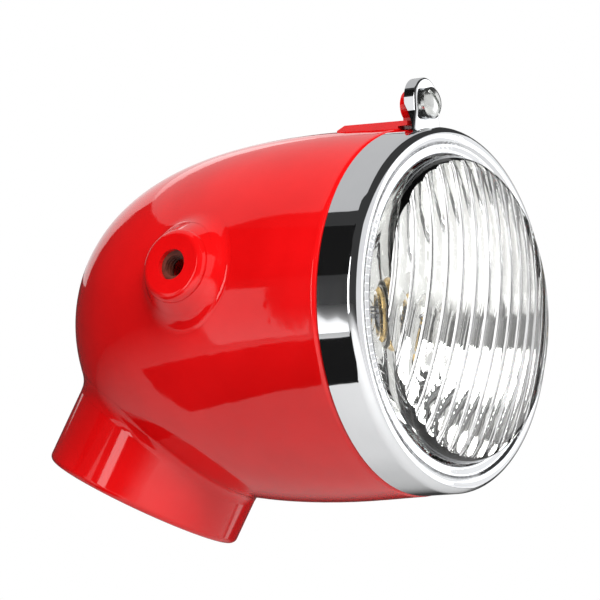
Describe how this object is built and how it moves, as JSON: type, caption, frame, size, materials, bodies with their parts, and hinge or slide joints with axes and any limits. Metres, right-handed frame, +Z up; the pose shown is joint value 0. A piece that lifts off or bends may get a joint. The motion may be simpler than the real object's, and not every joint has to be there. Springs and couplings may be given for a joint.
{
  "type": "moped headlamp",
  "caption": "Egg-shaped red headlamp with a chromed rim, domed fluted glass, threaded side pivots and a tilted bottom neck.",
  "frame": {"origin": "centre of the neck's mouth, on the neck's axis", "axes": "+Z up, the glass looks along -Y, +X to the lamp's right-hand pivot as seen from the front"},
  "size_m": [0.132, 0.163, 0.1441],
  "materials": {
    "red_enamel": "glossy stoved enamel",
    "primed_steel": "bare steel with enamel overspray",
    "plated_steel": "dull zinc-plated mild steel",
    "zinc_plate": "bright zinc plate",
    "chrome_plate": "polished chrome plate",
    "lens_glass": "clear pressed glass",
    "bulb_envelope": "thin clear glass",
    "mirror_coat": "silvered and lacquered",
    "rubber_seal": "soft black rubber",
    "spring_steel": "oiled spring steel",
    "brass_parts": "drawn brass",
    "phenolic": "brown laminate",
    "tungsten": "drawn wire and pressed glass stem",
    "black_glass": "fused black insulator",
    "solder": "soft solder"
  },
  "bodies": {
    "lamp_body": {"shell_upper_left": "red_enamel", "shell_upper_right": "red_enamel", "shell_lower_left": "red_enamel", "shell_lower_right": "red_enamel", "neck": "red_enamel", "neck_collar": "plated_steel", "pivot_cup_left": "red_enamel", "pivot_cup_right": "red_enamel", "pivot_nut_left": "primed_steel", "pivot_nut_right": "primed_steel", "bracket_strip": "red_enamel", "tapped_ear": "red_enamel"},
    "rim_unit": {"rim": "chrome_plate", "rim_lug": "chrome_plate", "rim_hook": "plated_steel", "lens": "lens_glass", "lens_gasket": "rubber_seal", "reflector": "mirror_coat", "reflector_throat": "mirror_coat", "bulb_sleeve": "plated_steel", "reflector_clips": "spring_steel"},
    "screw_washer_body": {"screw_washer": "zinc_plate"},
    "rim_screw_body": {"rim_screw": "zinc_plate"},
    "bulb_holder": {"holder_sleeve": "plated_steel", "terminal_plate": "phenolic", "terminal_blades": "brass_parts"},
    "bulb": {"bulb_cap": "brass_parts", "bulb_glass": "bulb_envelope", "bulb_filaments": "tungsten", "bulb_insulator": "black_glass", "bulb_pads": "solder"},
    "contact_unit": {"contact_carrier": "phenolic", "contact_studs": "brass_parts", "contact_spring": "spring_steel"}
  },
  "joints": [
    {"name": "rim_swing", "type": "hinge", "parent": "lamp_body", "child": "rim_unit", "pos_m": [0.01305, -0.1034, 0.00199], "axis": [0.9744, 0, 0.225], "range_deg": [0, 40]},
    {"name": "screw_slide", "type": "slide", "parent": "rim_unit", "child": "screw_washer_body", "axis": [0, -1, 0], "range_m": [0, 0.004]},
    {"name": "screw_turn", "type": "hinge", "parent": "screw_washer_body", "child": "rim_screw_body", "pos_m": [-0.0148, -0.1034, 0.12261], "axis": [0, -1, 0], "range_deg": [0, 1800]},
    {"name": "holder_twist", "type": "hinge", "parent": "rim_unit", "child": "bulb_holder", "pos_m": [0, -0.1034, 0.0585], "axis": [0, -1, 0], "range_deg": [-25, 0]},
    {"name": "bulb_push", "type": "slide", "parent": "bulb_holder", "child": "bulb", "axis": [0, 1, 0], "range_m": [0, 0.002]},
    {"name": "contact_push", "type": "slide", "parent": "bulb_holder", "child": "contact_unit", "axis": [0, 1, 0], "range_m": [0, 0.002], "stiffness_N_per_m": 1000, "springref_m": -0.002}
  ],
  "couplings": [
    {"joint": "screw_turn", "follows": "screw_slide", "rad_per_m": 7854},
    {"joint": "contact_push", "follows": "bulb_push", "ratio": 1}
  ]
}
